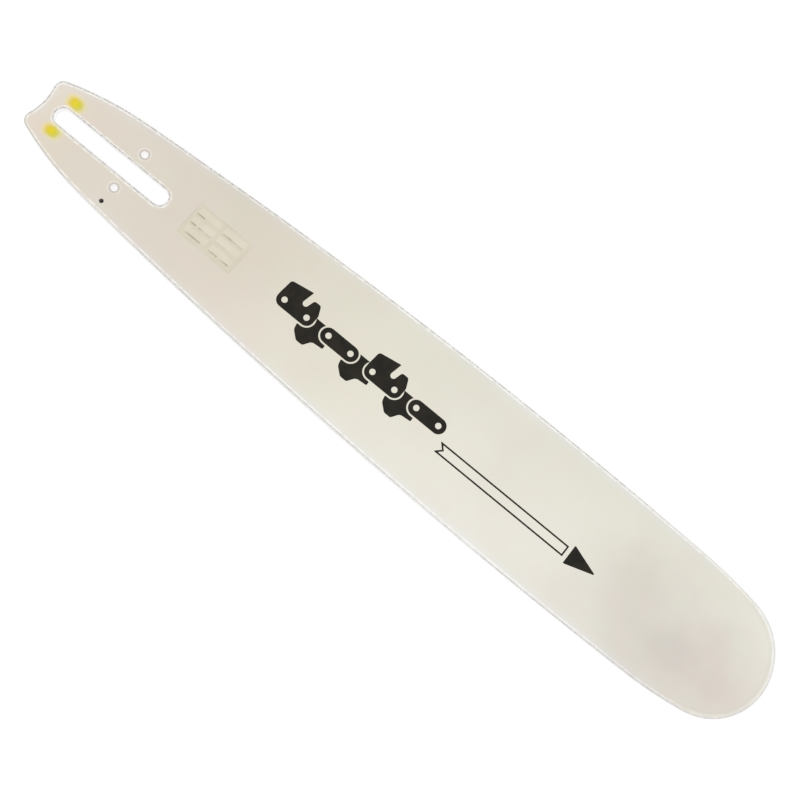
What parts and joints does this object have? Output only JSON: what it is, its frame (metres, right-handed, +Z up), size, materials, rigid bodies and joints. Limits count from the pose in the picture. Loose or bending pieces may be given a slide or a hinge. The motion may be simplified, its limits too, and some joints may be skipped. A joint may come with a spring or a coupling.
{
  "type": "chainsaw guide bar",
  "caption": "Flat solid-steel chainsaw guide bar with a broad rounded hard nose, a chain groove round its rim, and a stud slot, tensioner holes and oil inlets at the tail.",
  "frame": {"origin": "centre of the stud slot, on the lower face", "axes": "+Y along the bar from the tail to the nose, +Z up out of the face with the oil inlet on the +X side, so the bar lies flat on its lower face"},
  "size_m": [0.1014, 0.632, 0.005],
  "materials": {
    "coated_steel": "warm off-white satin coat on the two faces and in the groove, bare ground steel on the rails and on the nose's land"
  },
  "bodies": {
    "root": {"guide_bar": "coated_steel"}
  },
  "joints": []
}
